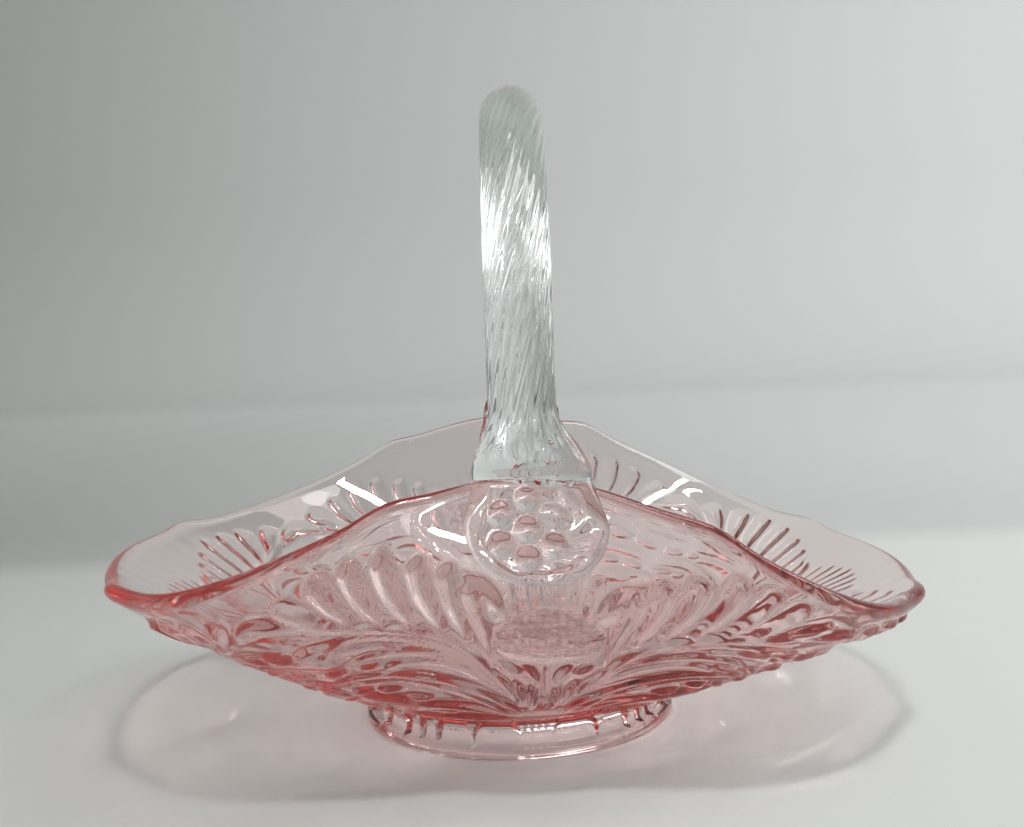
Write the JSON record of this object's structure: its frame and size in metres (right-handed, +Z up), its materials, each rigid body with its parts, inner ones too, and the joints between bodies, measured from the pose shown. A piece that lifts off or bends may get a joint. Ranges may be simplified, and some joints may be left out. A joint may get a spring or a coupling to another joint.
{
  "type": "glass basket",
  "caption": "Footed pressed-glass basket: an oblong bowl bent up at two sides, with an arched rope-twist handle, for sweets, fruit or flowers.",
  "frame": {"origin": "middle of the foot's underside, on the surface the basket stands on", "axes": "+X along the bowl's long direction, +Z up, -Y the side of the handle's near pad; the handle stands in the YZ plane"},
  "size_m": [0.2104, 0.1655, 0.1657],
  "materials": {
    "bowl": "pressed and fire-polished, transparent pink",
    "handle": "drawn and twisted, clear"
  },
  "bodies": {
    "root": {"bowl": "bowl", "handle": "handle"}
  },
  "joints": []
}
